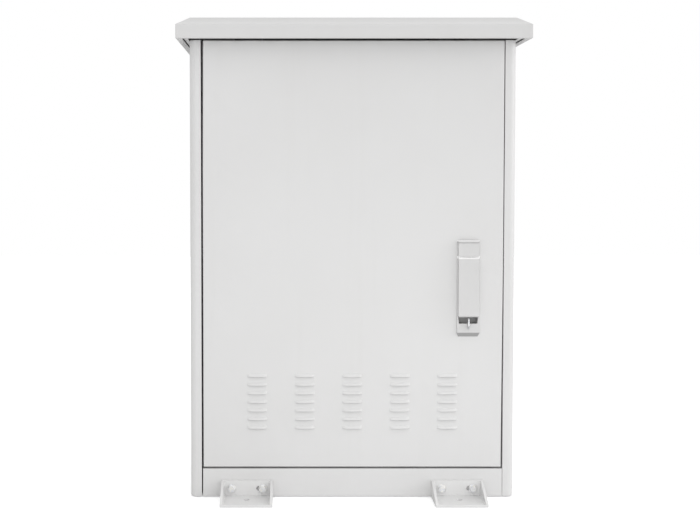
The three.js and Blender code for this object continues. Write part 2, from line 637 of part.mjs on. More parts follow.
// The head turns in front of the dish; its spindle passes through the door to the cam.
function addHead() {
  const back = DISH_FRONT - 0.6;
  const front = DISH_FRONT - HEAD_OUT;
  const top = DISH_TOP - 0.4;
  const seam = top - HEAD_CHAMFER - 0.4;
  const side = [
    [back, HEAD_BOTTOM], [front, HEAD_BOTTOM], [front, seam - 0.9], [front + 1.4, seam - 0.9],
    [front + 1.4, seam], [front, seam], [front, top - HEAD_CHAMFER], [front + HEAD_CHAMFER, top],
    [back, top],
  ];
  const block = prismX(side, HANDLE_X - HEAD_HALF, HANDLE_X + HEAD_HALF);
  const spindle = rod('y', SPINDLE_R, HANDLE_X, HANDLE_Z, back - 1, CAM_FRONT - 0.6);
  const lugs = [-1, 1].map((sign) => {
    const x0 = HANDLE_X + sign * 8 - 3;
    const stem = box(x0, x0 + 6, LIFT_Y + 0.9, back, LIFT_Z - 1, HEAD_BOTTOM + 1);
    return stem.add(rod('x', LUG_R, LIFT_Y, LIFT_Z, x0, x0 + 6, 20));
  });
  const bore = rod('x', LIFT_PIN_R + GAP, LIFT_Y, LIFT_Z, HANDLE_X - 30, HANDLE_X + 30, 16);
  add('handle_head', cut(union(block, spindle, ...lugs), bore), HANDLE);

  const pin = rod('x', LIFT_PIN_R, LIFT_Y, LIFT_Z, HANDLE_X - 15, HANDLE_X + 15, 16);
  add('lever_pin', pin, ZINC);
}

// The lever hangs from the head: a hollow grip with a broad chamfer on top.
function addLever() {
  const top = HEAD_BOTTOM - 0.8;
  const back = DISH_FRONT - 0.8;
  const front = DISH_FRONT - LEVER_OUT;
  // Its top keeps within a circle about the pin, so that it clears the head as it lifts.
  const side = [
    [back, LEVER_BOTTOM], [front + 2, LEVER_BOTTOM], [front, LEVER_FACE_BOTTOM], [front, top - 3.6],
    [front + 2.9, top - 0.2], [LIFT_Y - 0.6, top], [back, top - 6],
  ];
  const plan = [
    [HANDLE_X - HEAD_HALF, top + 1], [HANDLE_X - HEAD_HALF, LEVER_FACE_BOTTOM],
    [HANDLE_X - HEAD_HALF + 2, LEVER_BOTTOM], [HANDLE_X + HEAD_HALF - 2, LEVER_BOTTOM],
    [HANDLE_X + HEAD_HALF, LEVER_FACE_BOTTOM], [HANDLE_X + HEAD_HALF, top + 1],
  ];
  const grip = prismX(side, HANDLE_X - HEAD_HALF, HANDLE_X + HEAD_HALF)
    .intersect(prismY(plan, front - 1, back + 1));
  const hollow = box(HANDLE_X - 17, HANDLE_X + 17, front + 2.5, back + 1, LEVER_FACE_BOTTOM + 2, LIFT_Z - 13);
  const yoke = box(HANDLE_X - 12, HANDLE_X + 12, LIFT_Y - LUG_R - 0.5, back + 1, LIFT_Z - 14, top + 1);
  const bore = rod('x', LIFT_PIN_R + GAP, LIFT_Y, LIFT_Z, HANDLE_X - 16, HANDLE_X + 16, 16);
  add('handle_lever', cut(grip, hollow, yoke, bore), HANDLE);
}

// The cam is a flat bar at 45 degrees with a round end and a rod pin on each side.
function addCam() {
  const reach = CAM_R * Math.SQRT1_2;
  const camBack = CAM_FRONT + CAM_T;
  const bar = box(-CAM_R, CAM_R, CAM_FRONT, camBack, -CAM_HALF, CAM_HALF).rotate([0, -45, 0])
    .translate([HANDLE_X, 0, HANDLE_Z]);
  const ends = [-1, 1].map((sign) => {
    const place = [HANDLE_X + sign * reach, HANDLE_Z + sign * reach];
    const eye = rod('y', CAM_HALF, ...place, CAM_FRONT, camBack, 20);
    return eye.add(rod('y', CAM_PIN_R, ...place, CAM_FRONT + 1, ROD_FRONT + ROD_T + 1.5, 16));
  });
  add('lock_cam', union(bar, ...ends), ZINC);
}

// ---- locking rods -------------------------------------------------------------------------
// Each rod has a level slot for its cam pin, so the pin moves it up and down.
const ROD_X = { upper: HANDLE_X + 17, lower: HANDLE_X - 17 };
const ROD_END = { upper: OPEN_TOP - 3, lower: OPEN_BOTTOM + 3 };

function addRods() {
  for (const [name, sign] of Object.entries({ upper: 1, lower: -1 })) {
    const x = ROD_X[name];
    const pinZ = HANDLE_Z + sign * CAM_R * Math.SQRT1_2;
    const start = pinZ - sign * 9;
    const end = ROD_END[name];
    const bar = box(x - ROD_W / 2, x + ROD_W / 2, ROD_FRONT, ROD_FRONT + ROD_T,
      Math.min(start, end), Math.max(start, end));
    const eye = box(x - 9, x + 9, ROD_FRONT, ROD_FRONT + ROD_T, pinZ - 9, pinZ + 9);
    const slotHalf = CAM_PIN_R + 0.95;
    const slot = box(x - 6.8, x + 6.8, ROD_FRONT - 1, ROD_FRONT + ROD_T + 1,
      pinZ - slotHalf, pinZ + slotHalf);
    add(`${name}_rod`, cut(union(bar, eye), slot), ZINC);
  }
  for (const [name, z] of Object.entries({ upper: 800, lower: 300 })) {
    const x = ROD_X[name];
    const y0 = DOOR_BACK + GAP;
    const block = box(x - 11, x + 11, y0, ROD_FRONT + ROD_T + 3, z - 10, z + 10);
    const boreHalf = ROD_W / 2 + 0.5;
    const bore = box(x - boreHalf, x + boreHalf, ROD_FRONT - 0.5, ROD_FRONT + ROD_T + 0.5, z - 12, z + 12);
    add(`rod_guide_${name}`, cut(block, bore), PLASTIC);
  }
}

// ---- inside: shelves, earth bar and cable glands ------------------------------------------
function addInside() {
  const front = FRAME_Y + 14;
  const back = BODY_BACK - POST_JAMB - 3;
  const shelfX = 282;
  for (const [name, z] of Object.entries(SHELF_ZS)) {
    const sheet = box(-shelfX, shelfX, front, back, z, z + 2);
    const frontLip = box(-shelfX, shelfX, front, front + 2, z, z + 18);
    const rearLip = box(-shelfX, shelfX, back - 2, back, z, z + 30);
    add(`battery_shelf_${name}`, union(sheet, frontLip, rearLip), ZINC);
    for (const [side, sign] of Object.entries(SIDES)) {
      const angle = prismZ([[BODY_W / 2 - 14, front], [BODY_W / 2 - 12.3, front], [BODY_W / 2 - 12.3, back],
        [BODY_W / 2 - 14, back]], z - 26, z - GAP);
      const seat = box(shelfX - 20, BODY_W / 2 - 12.4, front, back, z - 2.3, z - GAP);
      add(`shelf_runner_${name}_${side}`, onSide(union(angle, seat), sign), ZINC);
    }
  }

  // The earth bar is bent back at both ends, so that it stands off the rear panel.
  const barBack = BODY_BACK - 16;
  const barZ = 84;
  const rear = BODY_BACK - SHEET - GAP;
  let bar = union(
    box(-90, 90, barBack - 4, barBack, barZ - 10, barZ + 10),
    ...[-90, 86].map((x) => box(x, x + 4, barBack - 4, rear, barZ - 10, barZ + 10)),
    ...[-108, 88].map((x) => box(x, x + 20, rear - 4, rear, barZ - 10, barZ + 10)),
  );
  for (let i = -3; i <= 3; i += 1) bar = cut(bar, rod('y', 3, i * 22, barZ, barBack - 9, barBack + 9, 12));
  add('earth_bar', bar, COPPER);

  const plateTop = BASE_TOP + GAP + PLATE_T;
  for (const [name, x] of Object.entries({ left: GLAND_XS[0], right: GLAND_XS[1] })) {
    const gland = cut(union(
      rod('z', 21, x, GLAND_Y, plateTop + GAP, plateTop + 8, 6),
      rod('z', 16, x, GLAND_Y, plateTop - 20, plateTop + 18, 16),
    ), rod('z', GLAND_BORE_R, x, GLAND_Y, plateTop - 30, plateTop + 30, 16));
    add(`cable_gland_${name}`, gland, PLASTIC);
  }
}

addPosts();
addPanels();
addDoorFrame();
addRoof();
addBrackets();
addDoorPanel();
addDoorFittings();
addHinges();
addDish();
addStaple();
addHead();
addLever();
addCam();
addRods();
addInside();

export default cabinet;
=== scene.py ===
"""Outdoor battery cabinet: its finishes and detailed pieces, and the floor, lights and camera."""
import json
import math
import bmesh
import bpy
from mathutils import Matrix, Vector, noise


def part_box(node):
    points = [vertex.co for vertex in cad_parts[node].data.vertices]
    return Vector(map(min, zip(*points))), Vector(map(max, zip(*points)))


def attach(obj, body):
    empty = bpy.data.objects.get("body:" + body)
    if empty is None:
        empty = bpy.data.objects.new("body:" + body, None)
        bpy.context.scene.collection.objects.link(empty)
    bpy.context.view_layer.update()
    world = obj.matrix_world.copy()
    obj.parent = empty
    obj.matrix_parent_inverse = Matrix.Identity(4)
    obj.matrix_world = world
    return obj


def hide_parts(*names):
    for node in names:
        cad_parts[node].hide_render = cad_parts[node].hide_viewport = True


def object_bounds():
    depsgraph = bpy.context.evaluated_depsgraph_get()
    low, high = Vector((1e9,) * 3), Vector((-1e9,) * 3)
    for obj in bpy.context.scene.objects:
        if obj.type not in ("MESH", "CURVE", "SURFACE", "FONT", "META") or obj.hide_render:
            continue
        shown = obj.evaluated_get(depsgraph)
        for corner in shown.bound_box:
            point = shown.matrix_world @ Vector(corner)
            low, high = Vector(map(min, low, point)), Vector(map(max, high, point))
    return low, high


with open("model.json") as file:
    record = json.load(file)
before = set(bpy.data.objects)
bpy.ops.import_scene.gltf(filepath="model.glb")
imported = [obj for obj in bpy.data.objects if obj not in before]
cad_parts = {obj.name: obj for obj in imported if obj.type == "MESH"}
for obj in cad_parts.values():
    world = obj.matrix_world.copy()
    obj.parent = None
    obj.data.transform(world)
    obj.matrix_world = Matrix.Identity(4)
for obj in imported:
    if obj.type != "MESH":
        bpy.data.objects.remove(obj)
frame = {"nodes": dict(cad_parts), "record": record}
CAD_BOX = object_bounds()

# Lengths are in metres, and +X is to the right, -Y to the front and +Z up.
MM = 0.001
BODY_CENTRE = (CAD_BOX[0] + CAD_BOX[1]) / 2
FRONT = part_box("post_front_left")[0].y  # the plane of the posts' and the door's faces
FORWARD = Vector((0, -1, 0))

# ---- camera, light and floor ----
CAMERA_PLACE = Vector((-0.131, -2.285, 0.655))
CAMERA_PITCH = math.radians(2.268)
CAMERA_LENS = 55.48
CAMERA_SENSOR = 36
CAMERA_SHIFT = (0.09, -0.0688)
CAMERA_REACH = (0.05, 50)
# The light from all around: its strength low and high, then how much stronger overhead, left and right.
WORLD_LOW = 0.89
WORLD_HIGH = 0.92
WORLD_ZENITH = 1.36
WORLD_LEFT = 1.02
WORLD_RIGHT = 1.20
# Each soft light's name, place, aim, size and power in watts.
SOFT_LIGHTS = (
    ("key", Vector((6.0, -1.1, 2.4)), BODY_CENTRE, 2.6, 95.0),
    ("front", Vector((-0.6, -4.2, 1.40)), BODY_CENTRE, 2.2, 20.0),
    ("fill", Vector((0.15, -0.95, 0.22)), Vector((0.0, -0.160, 0.02)), 0.5, 0.85),
)
FLOOR_HALF = 6.0
FLOOR_DROP = 0.3 * MM

# ---- the door's sheet ----
DOOR_SHEET = 1.2 * MM
DOOR_BEND = 2.0 * MM
DOOR_DEPTH = 25 * MM
DOOR_LIP = 12 * MM
DOOR_RISE = 2.5 * MM  # how far the sheet reaches above its solid, towards the eave
BEND_STEPS = 4
HINGE_MIDDLE = 0.5 * MM  # from the lower end of a hinge's door leaf down to the hinge's middle
NOTCH_HALF = 38 * MM  # half the height of the notch in the flange at each hinge
NOTCH_DEPTH = 6 * MM  # how far behind the face a notch starts
# The sheet's side edges aren't quite parallel to the posts: between two heights, how far along X each
# goes from its solid's edge.
EDGE_STRIP = 20 * MM  # width of the strip that moves with each edge
LEFT_LEAN = (660 * MM, 880 * MM, 0.0, 1.2 * MM)
RIGHT_LEAN = (120 * MM, 450 * MM, 0.4 * MM, 2.0 * MM)

# ---- the louvres, and the hole for the handle's finger pocket ----
LOUVRE_COLUMNS = 5
LOUVRE_ROWS = 7
LOUVRE_PITCH_X = 95.3 * MM
LOUVRE_PITCH_Z = 17.4 * MM
LOUVRE_TOP_Z = 246.5 * MM
LOUVRE_W = 40 * MM
LOUVRE_H = 6.5 * MM
LOUVRE_OUT = 3.6 * MM
LOUVRE_END = 9.0 * MM  # length of a hood's rounded end
HOOD_CELLS_X = 16
HOOD_CELLS_Z = 6
POCKET_HALF = 21.8 * MM
POCKET_LOW = 350.0 * MM
POCKET_HIGH = 374.2 * MM
POCKET_ROOM = 0.5 * MM  # gap round the finger pocket where it passes through the door

# ---- the swing handle and the plinth ----
LEVER_PROUD = 0.9 * MM  # how far the lever's face stands out past its solid
LEVER_FACE = 0.4 * MM  # depth within which a corner belongs to the lever's face
PLINTH_GAP = 1.9 * MM
PLINTH_END = 20 * MM  # length of the plinth panel's left end, which is moved to make the gap
# Heights on the handle in millimetres, each with the paint's brightness there: painted shade on the lower
# ramp, painted highlights on the edges beside the seam between lever and head, and painted shade in a
# groove and a painted highlight on the edge at the head's top.
HANDLE_PAINTED_LIGHT = ((325.0, 0.58), (333.2, 0.58), (333.8, 1.0), (481.4, 1.0), (482.0, 1.5), (486.7, 1.5),
                (487.0, 1.0), (512.6, 1.0), (513.2, 0.84), (515.8, 0.84), (516.4, 1.4), (518.0, 1.4))
POCKET_SHADE = (1 * MM, 5 * MM)  # painted shade darkens the pocket between these depths behind the door's face

# ---- the door's seal and filter mat ----
SEAL_HALF = 6 * MM
SEAL_FOOT = 2.2 * MM
BULB_START = 2.6 * MM  # height on the seal's foot where its bulb starts
BULB_HALF = 4.6 * MM
BULB_STEPS = 9
SEAL_CORNER = 7 * MM
FLEECE_COLUMNS = 300
FLEECE_ROWS = 50
FLEECE_THICKNESS = 2.4 * MM
FLEECE_BACK = 0.8 * MM  # gap between the mat and the back of its solid
PLEAT = 6 * MM  # half the width of one of the mat's folds
FOLD = 1.4 * MM  # the depth of a fold
PINCH_WIDTH = 17 * MM  # width of the edge that the filter frame presses flat
PINCH_DEPTH = 3.4 * MM
LUMP = 0.3 * MM  # depth of the mat's uneven lumps

# ---- bolts, screws, glands, welds and beads ----
BRACKET_PLATE = 5 * MM
SHANK_RADIUS = 4.0 * MM
SHANK_PITCH = 1.25 * MM
SHANK_START = 0.2 * MM
WASHER_RADIUS = 8.5 * MM
WASHER_BORE = 4.4 * MM
WASHER_THICKNESS = 1.6 * MM
SPRING_RADIUS = 6.9 * MM
SPRING_BORE = 4.3 * MM
SPRING_THICKNESS = 1.9 * MM
SPRING_EDGE = 0.4 * MM
HEAD_RADIUS = 7.4 * MM  # to the corners
HEAD_HEIGHT = 4.3 * MM
SEAT_GAP = 0.05 * MM
CLOSE_GAP = 0.02 * MM  # left between a screw or washer and the face under it
GLAND_GAP = 0.3 * MM
GLAND_BODY = 8 * MM  # from the plate's upper side to the dome nut
GLAND_PITCH = 1.5 * MM
RIB_RADIUS = 15.2 * MM  # the dome nut has ribs where it is wider than this
RIB_OUT = 0.5 * MM
# Each kind of screw head's radius and height.
RIM_SCREW = (4.2 * MM, 2.4 * MM)
TERMINAL_SCREW = (5.0 * MM, 3.6 * MM)
FOOT_SCREW = (3.8 * MM, 2.4 * MM)
RIM_INSET = 14 * MM
TERMINALS = (-66 * MM, -22 * MM, 22 * MM, 66 * MM)
EARTH_FOOT = 8 * MM  # from the earth bar's end to the screw in its foot
EARTH_BAR = 4 * MM  # thickness of the earth bar's foot
WELD_FRONT = 4 * MM  # from the front edge of a bracket's foot to its weld
WELD_TOP = 2 * MM
WELD_SIZE = 2.3 * MM
WELD_STEP = 1.1 * MM
BEAD_OFFSETS = (3.2 * MM, 6.4 * MM, 9.6 * MM)  # from the roof's side edge to each stiffening bead
BEAD_RADIUS = 1.0 * MM
BEAD_DROP = 0.7  # a bead's height as a share of half its width
BEAD_END = 13 * MM


# ---- node trees -------------------------------------------------------------------------------
class Graph:
    """A node tree, with short calls to add and join its nodes."""

    def __init__(self, tree):
        self.tree = tree

    def feed(self, socket, value):
        """Joins a socket to another node's output, or sets it to a plain value."""
        if isinstance(value, bpy.types.NodeSocket):
            self.tree.links.new(value, socket)
        else:
            socket.default_value = value

    def add(self, kind, **inputs):
        """Adds a node and feeds its inputs by name."""
        node = self.tree.nodes.new(kind)
        for key, value in inputs.items():
            self.feed(node.inputs[key.replace("_", " ")], value)
        return node

    def wire(self, kind, *values, **settings):
        """Adds a node with these settings and feeds its inputs in order."""
        node = self.tree.nodes.new(kind)
        for key, value in settings.items():
            setattr(node, key, value)
        for socket, value in zip(node.inputs, values):
            self.feed(socket, value)
        return node.outputs[0]

    def spread(self, value, low, high, to_low, to_high):
        """Maps low..high to to_low..to_high, and holds the ends."""
        node = self.add("ShaderNodeMapRange", Value=value, From_Min=low, From_Max=high, To_Min=to_low,
                        To_Max=to_high)
        return node.outputs["Result"]

    def split(self, vector):
        return self.add("ShaderNodeSeparateXYZ", Vector=vector).outputs


class Finish(Graph):
    """A procedural material, whose patterns follow the place on the object."""

    def __init__(self, name):
        self.material = bpy.data.materials.new(name)
        self.material.use_nodes = True
        super().__init__(self.material.node_tree)
        self.shader = self.tree.nodes["Principled BSDF"]
        self.place = self.tree.nodes.new("ShaderNodeTexCoord").outputs["Object"]

    def set(self, **inputs):
        for key, value in inputs.items():
            self.feed(self.shader.inputs[key.replace("_", " ")], value)
        return self.material

    def stretched(self, scale):
        return self.add("ShaderNodeMapping", Vector=self.place, Scale=scale).outputs["Vector"]

    def noise(self, scale, detail=2.0, roughness=0.5, place=None):
        node = self.add("ShaderNodeTexNoise", Vector=place or self.place, Scale=scale, Detail=detail,
                        Roughness=roughness)
        return node.outputs["Fac"]

    def brushed(self, *scale):
        """Fine noise that is drawn out along the axis with the smallest scale."""
        return self.noise(1.0, 3.0, 0.6, self.stretched(scale))

    def ramp(self, value, *stops):
        node = self.add("ShaderNodeValToRGB", Fac=value)
        elements = node.color_ramp.elements
        while len(elements) < len(stops):
            elements.new(0.5)
        for element, (position, colour) in zip(elements, stops):
            element.position = position
            element.color = (*colour, 1)
        return node.outputs["Color"]

    def tint(self, base, over, share):
        """Multiplies a colour by another, by a share from 0 to 1."""
        node = self.tree.nodes.new("ShaderNodeMix")
        node.data_type = "RGBA"
        node.blend_type = "MULTIPLY"
        for index, value in ((0, share), (6, base), (7, over)):
            self.feed(node.inputs[index], value)
        return node.outputs[2]

    def bump(self, height, distance, strength=1.0, **under):
        node = self.add("ShaderNodeBump", Height=height, Distance=distance, Strength=strength, **under)
        return node.outputs["Normal"]


# ---- materials --------------------------------------------------------------------------------
DUST = (0.93, 0.925, 0.91, 1)
GRIME = (0.90, 0.885, 0.86, 1)
# The colour of the painted shade deep inside the handle's finger pocket.
POCKET_SHADE_TONE = (0.5, 0.5, 0.5, 1)
SPLASH_TOP = 0.16  # height that splashed dirt reaches above the floor


def grey(level, warmth=0.0):
    return (level * (1 + warmth), level, level * (1 - warmth))


def powder_coat(name, level, roughness, grain=900.0):
    """Fine-textured powder coat on sheet: faint cloudiness, streaks of dust and a slightly wavy sheet."""
    n = Finish(name)
    cloud = n.noise(3.5, 3.0)
    base = n.ramp(cloud, (0.35, grey(level * 0.985, 0.004)), (0.65, grey(level * 1.01, 0.002)))
    streak = n.spread(n.noise(1.0, 4.0, 0.6, n.stretched((26, 26, 1.3))), 0.56, 0.74, 0.0, 0.20)
    base = n.tint(base, DUST, streak)
    low_down = n.spread(n.split(n.place)["Z"], 0.0, SPLASH_TOP, 0.14, 0.0)
    spots = n.spread(n.noise(38, 5.0, 0.65), 0.35, 0.8, 0.1, 1.0)
    base = n.tint(base, GRIME, n.wire("ShaderNodeMath", low_down, spots, operation="MULTIPLY"))
    wave = n.bump(n.noise(5.5, 1.0), 0.22 * MM)
    peel = n.bump(n.noise(grain, 2.0, 0.55), 0.06 * MM, 0.8, Normal=wave)
    rough = n.spread(n.noise(60, 3.0), 0.3, 0.7, roughness - 0.04, roughness + 0.05)
    return n.set(Base_Color=base, Normal=peel, Roughness=rough, Specular_IOR_Level=0.45)


def zinc(name, level=0.62, roughness=0.34, spangle=160.0):
    """Bright zinc plating: soft crystal patches, a trace of blue and straw, and fine rolling lines."""
    n = Finish(name)
    cells = n.add("ShaderNodeTexVoronoi", Vector=n.place, Scale=spangle).outputs["Color"]
    patch = n.add("ShaderNodeSeparateColor", Color=cells).outputs["Red"]
    base = n.ramp(patch, (0.0, (level * 0.90, level * 0.92, level * 0.96)), (0.6, grey(level)),
                  (1.0, (level * 1.08, level * 1.06, level)))
    lines = n.brushed(30, 900, 900)
    rough = n.spread(lines, 0.3, 0.7, roughness - 0.05, roughness + 0.08)
    return n.set(Base_Color=base, Roughness=rough, Normal=n.bump(lines, 0.02 * MM), Metallic=1.0)


def cast_coat(name, level, roughness):
    """Lacquered die casting: very fine grain, bands of painted shade and painted highlights up the handle,
    and painted shade deep inside its pocket.
    """
    n = Finish(name)
    base = n.ramp(n.noise(14, 3.0), (0.35, grey(level * 0.98, 0.004)), (0.7, grey(level * 1.01, 0.004)))
    place = n.split(n.place)
    # Painted shade: darker the deeper inside the finger pocket, behind the door's face.
    shade = n.spread(place["Y"], FRONT + POCKET_SHADE[0], FRONT + POCKET_SHADE[1], 0.0, 0.85)
    base = n.tint(base, POCKET_SHADE_TONE, shade)
    # Painted shade and painted highlights in bands by height up the handle.
    low, high = HANDLE_PAINTED_LIGHT[0][0], HANDLE_PAINTED_LIGHT[-1][0]
    height = n.spread(place["Z"], low * MM, high * MM, 0.0, 1.0)
    painted_light = n.ramp(height, *[((z - low) / (high - low), grey(share)) for z, share in HANDLE_PAINTED_LIGHT])
    rub = n.spread(n.noise(55, 4.0, 0.6), 0.4, 0.75, roughness + 0.03, roughness - 0.06)
    return n.set(Base_Color=n.tint(base, painted_light, 1.0), Roughness=rub,
                 Normal=n.bump(n.noise(1500, 2.0), 0.04 * MM))


def rubber(name):
    n = Finish(name)
    base = n.ramp(n.noise(45, 4.0), (0.3, (0.018, 0.018, 0.019)), (0.75, (0.034, 0.034, 0.035)))
    return n.set(Base_Color=base, Roughness=n.spread(n.noise(90), 0.3, 0.7, 0.7, 0.9),
                 Normal=n.bump(n.noise(1100, 3.0, 0.7), 0.2 * MM))


def filter_mat(name):
    """Non-woven fibre: two crossed sets of stretched noise."""
    n = Finish(name)
    across = n.noise(1.0, 5.0, 0.7, n.stretched((240, 500, 1500)))
    upright = n.noise(1.0, 5.0, 0.7, n.stretched((1500, 500, 260)))
    fibres = n.wire("ShaderNodeMath", across, upright, operation="MAXIMUM")
    base = n.ramp(fibres, (0.35, (0.09, 0.095, 0.10)), (0.75, (0.30, 0.31, 0.32)))
    return n.set(Base_Color=base, Roughness=0.95, Normal=n.bump(fibres, 0.8 * MM), Sheen_Weight=0.3)


def copper(name):
    """Bare copper: brown stains and fine lines along the bar."""
    n = Finish(name)
    stain = n.noise(32, 5.0, 0.6)
    base = n.ramp(stain, (0.3, (0.78, 0.40, 0.24)), (0.6, (0.62, 0.30, 0.18)), (0.85, (0.30, 0.17, 0.12)))
    return n.set(Base_Color=base, Roughness=n.spread(stain, 0.3, 0.8, 0.24, 0.5), Metallic=1.0,
                 Normal=n.bump(n.brushed(40, 900, 900), 0.02 * MM))


def plastic(name, level=0.02, roughness=0.5):
    n = Finish(name)
    base = n.ramp(n.noise(30, 3.0), (0.3, grey(level)), (0.8, grey(level * 1.6)))
    rough = n.spread(n.noise(70), 0.3, 0.7, roughness - 0.05, roughness + 0.08)
    return n.set(Base_Color=base, Roughness=rough, Normal=n.bump(n.noise(1300, 2.0), 0.06 * MM))


MATERIALS = {
    "powder_coat": powder_coat("coat_sheet", 0.66, 0.46),
    "roof_coat": powder_coat("coat_roof", 0.625, 0.48),
    "handle_coat": cast_coat("coat_handle", 0.59, 0.34),
    "bracket_coat": powder_coat("coat_bracket", 0.70, 0.50, 700.0),
    "zinc_steel": zinc("zinc_plate"),
    "gasket_rubber": rubber("foam_rubber"),
    "filter_mat": filter_mat("filter_fibre"),
    "earth_bar_metal": copper("bare_copper"),
    "black_plastic": plastic("black_polyamide"),
}
BOLT_ZINC = zinc("zinc_bolt", 0.80, 0.34, 420.0)


# ---- the frame's nodes: softened edges and finishes -------------------------------------------
SLOT_OF = {row["node"]: row["material_slot"] for row in frame["record"]["subparts"]}
# The width of a node's softened edges in millimetres, by the first of these words in its name.
EDGE_WIDTHS = {"roof_canopy": 1.6, "handle_lever": 0.7, "handle_head": 0.3, "handle_dish": 0.7,
               "padlock_staple": 0.5, "battery_shelf": 0.4, "door_frame": 0.4, "post_": 0.45,
               "hinge": 0.5, "earth_bar": 0.6, "floor_bracket": 0.8, "rod": 0.5}
PLAIN_EDGE = 0.35


def edge_width(node):
    for word, width in EDGE_WIDTHS.items():
        if word in node:
            return width * MM
    return PLAIN_EDGE * MM


def bevel(piece, width, segments, angle):
    """Rounds the edges that are sharper than an angle in degrees."""
    edges = piece.modifiers.new("edges", "BEVEL")
    edges.width = width
    edges.segments = segments
    edges.limit_method = "ANGLE"
    edges.angle_limit = math.radians(angle)


def even_normals(piece, weight):
    piece.modifiers.new("normals", "WEIGHTED_NORMAL").weight = weight


def crisp(piece, width, angle=28, segments=2):
    bevel(piece, width, segments, angle)
    even_normals(piece, 80)


def soften(piece, width, segments):
    """Joins the split corners, clears flat edges, rounds the sharp ones and smooths the shading."""
    for polygon in piece.data.polygons:
        polygon.use_smooth = True
    weld = piece.modifiers.new("weld", "WELD")
    weld.merge_threshold = 0.005 * MM
    flat = piece.modifiers.new("flat", "DECIMATE")
    flat.decimate_type = "DISSOLVE"
    flat.angle_limit = math.radians(0.8)
    bevel(piece, width, segments, 32)
    even_normals(piece, 90)


def finish_cad():
    for node, piece in frame["nodes"].items():
        piece.data.materials.clear()
        piece.data.materials.append(MATERIALS[SLOT_OF[node]])
        soften(piece, edge_width(node), 3 if node.startswith(("roof", "handle")) else 2)


# ---- building new pieces ----------------------------------------------------------------------
def make_piece(name, mesh, body, material, replaces=()):
    """A smooth-shaded piece that rides on a body, and stands for the nodes that it replaces."""
    piece = bpy.data.objects.new(name, mesh)
    bpy.context.scene.collection.objects.link(piece)
    mesh.materials.append(material)
    for polygon in mesh.polygons:
        polygon.use_smooth = True
    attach(piece, body)
    if replaces:
        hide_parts(*replaces)
    return piece


def mesh_from(name, vertices, faces):
    """A mesh with its doubled vertices joined and its faces turned outwards."""
    mesh = bpy.data.meshes.new(name)
    mesh.from_pydata([tuple(v) for v in vertices], [], faces)
    mesh.validate()
    build = bmesh.new()
    build.from_mesh(mesh)
    bmesh.ops.remove_doubles(build, verts=build.verts, dist=1e-6)
    bmesh.ops.recalc_face_normals(build, faces=build.faces)
    build.to_mesh(mesh)
    build.free()
    return mesh


def turn_faces(mesh, outward):
    """Flips an open sheet's faces if they face away from a direction."""
    build = bmesh.new()
    build.from_mesh(mesh)
    widest = max(build.faces, key=lambda face: face.calc_area() * abs(face.normal.dot(outward)))
    if widest.normal.dot(outward) < 0:
        bmesh.ops.reverse_faces(build, faces=build.faces)
    build.to_mesh(mesh)
    build.free()


def thicken(piece, thickness):
    """Gives a sheet its thickness, behind the side that it faces."""
    sheet = piece.modifiers.new("sheet", "SOLIDIFY")
    sheet.thickness = thickness
    sheet.offset = -1


def tube_faces(rows, count, closed=False):
    """Faces between rows of count vertices. Each row is a ring; closed joins the last row to the first."""
    faces = []
    for i in range(rows if closed else rows - 1):
        j = (i + 1) % rows
        for k in range(count):
            m = (k + 1) % count
            faces.append((i * count + k, j * count + k, j * count + m, i * count + m))
    return faces


def tube_ends(rows, count):
    """The two end faces of an open tube of rows."""
    return [tuple(range(count)), tuple((rows - 1) * count + k for k in range(count - 1, -1, -1))]


def revolve(section, centre, axis="Z", sides=32, form=None):
    """Vertices and faces of a closed section of (radius, height) pairs turned about an axis.

    form(angle, radius) may change a radius, such as into a hexagon's.
    """
    vertices = []
    for i in range(sides):
        a = 2 * math.pi * i / sides
        for radius, height in section:
            reach = form(a, radius) if form else radius
            point = Vector((reach * math.cos(a), reach * math.sin(a), height))
            if axis == "Y":
                point = Vector((point.x, point.z, -point.y))
            vertices.append(centre + point)
    return vertices, tube_faces(sides, len(section), closed=True)


def gather(*parts):
    vertices = []
    faces = []
    for part_vertices, part_faces in parts:
        start = len(vertices)
        vertices += part_vertices
        faces += [tuple(start + i for i in face) for face in part_faces]
    return vertices, faces


def hexagon_share(angle):
    """The share of its corner radius that a hexagon reaches at an angle."""
    return math.cos(math.pi / 6) / math.cos(angle % (math.pi / 3) - math.pi / 6)


def hexagonal(above):
    """A form for revolve that turns every radius above a limit into a hexagon's."""
    def form(angle, radius):
        return radius * hexagon_share(angle) if radius > above else radius
    return form


# ---- the door's pressed sheet -----------------------------------------------------------------
def pocket_hole():
    """Left, right, bottom and top of the hole that the finger pocket passes through."""
    low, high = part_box("handle_lever")
    middle = (low.x + high.x) / 2
    half = POCKET_HALF + POCKET_ROOM
    return middle - half, middle + half, POCKET_LOW - POCKET_ROOM, POCKET_HIGH + POCKET_ROOM


def hinge_notches():
    """The low and high edge of each notch that clears a hinge."""
    middles = [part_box(f"hinge_door_leaf_{end}")[0].z - HINGE_MIDDLE for end in ("upper", "lower")]
    return [(middle - NOTCH_HALF, middle + NOTCH_HALF) for middle in middles]


def door_lines():
    """Grid lines of the door's face, fine across each louvre, and the middle of each louvre."""
    low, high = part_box("door_panel")
    left, right, bottom, top = pocket_hole()
    xs = {low.x + DOOR_BEND, high.x - DOOR_BEND, left, right}
    zs = {low.z + DOOR_BEND, high.z + DOOR_RISE - DOOR_BEND, bottom, top, LEFT_LEAN[0], RIGHT_LEAN[1]}
    columns = [(k - (LOUVRE_COLUMNS - 1) / 2) * LOUVRE_PITCH_X for k in range(LOUVRE_COLUMNS)]
    rows = [LOUVRE_TOP_Z - k * LOUVRE_PITCH_Z for k in range(LOUVRE_ROWS)]
    for x in columns:
        xs |= {x - LOUVRE_W / 2 * math.cos(math.pi * k / HOOD_CELLS_X) for k in range(HOOD_CELLS_X + 1)}
    for z in rows:
        zs |= {z + LOUVRE_H / 2 - LOUVRE_H * k / HOOD_CELLS_Z for k in range(HOOD_CELLS_Z + 1)}
    for notch in hinge_notches():
        zs |= set(notch)
    return sorted(xs), sorted(zs), [(x, z) for x in columns for z in rows]


